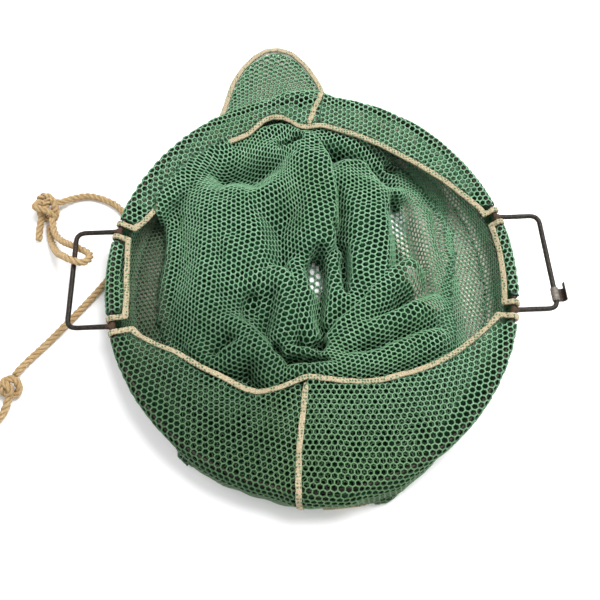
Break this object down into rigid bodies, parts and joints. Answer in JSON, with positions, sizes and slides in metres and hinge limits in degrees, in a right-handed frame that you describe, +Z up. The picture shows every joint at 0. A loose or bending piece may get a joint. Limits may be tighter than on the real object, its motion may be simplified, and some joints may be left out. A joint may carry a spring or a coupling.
{
  "type": "netting catch bag on a hinged wire hoop frame",
  "caption": "Round netting catch bag lying collapsed under its hinged wire mouth hoop, with two square wire handles, a latch clip, taped edges and a knotted rope.",
  "frame": {"origin": "on the floor under the middle of the mouth hoop, where the bag's bottom lies flat inside the hollow of the heap", "axes": "+Z up through the mouth, +X towards the handle with the latch, +Y towards the hinge with the ear"},
  "size_m": [0.6239, 0.5691, 0.0562],
  "materials": {
    "steel_wire": "dark oxidised steel wire with rust at the welds",
    "latch_steel": "worn sheet steel",
    "netting": "green hexagonal knotless netting, 6 mm pitch",
    "binding_tape": "cream woven tape, stitched",
    "rope": "straw-coloured three-strand rope"
  },
  "bodies": {
    "bag": {"frame_right": "steel_wire", "frame_left": "steel_wire", "bag_net": "netting", "mouth_tape_right": "binding_tape", "mouth_tape_far": "binding_tape", "mouth_tape_left": "binding_tape", "mouth_tape_near": "binding_tape", "seam_tape_near": "binding_tape", "seam_tape_far": "binding_tape", "ear_tape": "binding_tape", "flap_tape": "binding_tape", "rope_run": "rope", "rope_loop": "rope", "rope_knot": "rope", "end_knot": "rope", "end_loop": "rope"},
    "latch": {"latch_clip": "latch_steel"}
  },
  "joints": [
    {"name": "latch_swivel", "type": "hinge", "parent": "bag", "child": "latch", "pos_m": [0.245, -0.038, 0.04], "axis": [0, -1, 0], "range_deg": [-90, 90]}
  ]
}
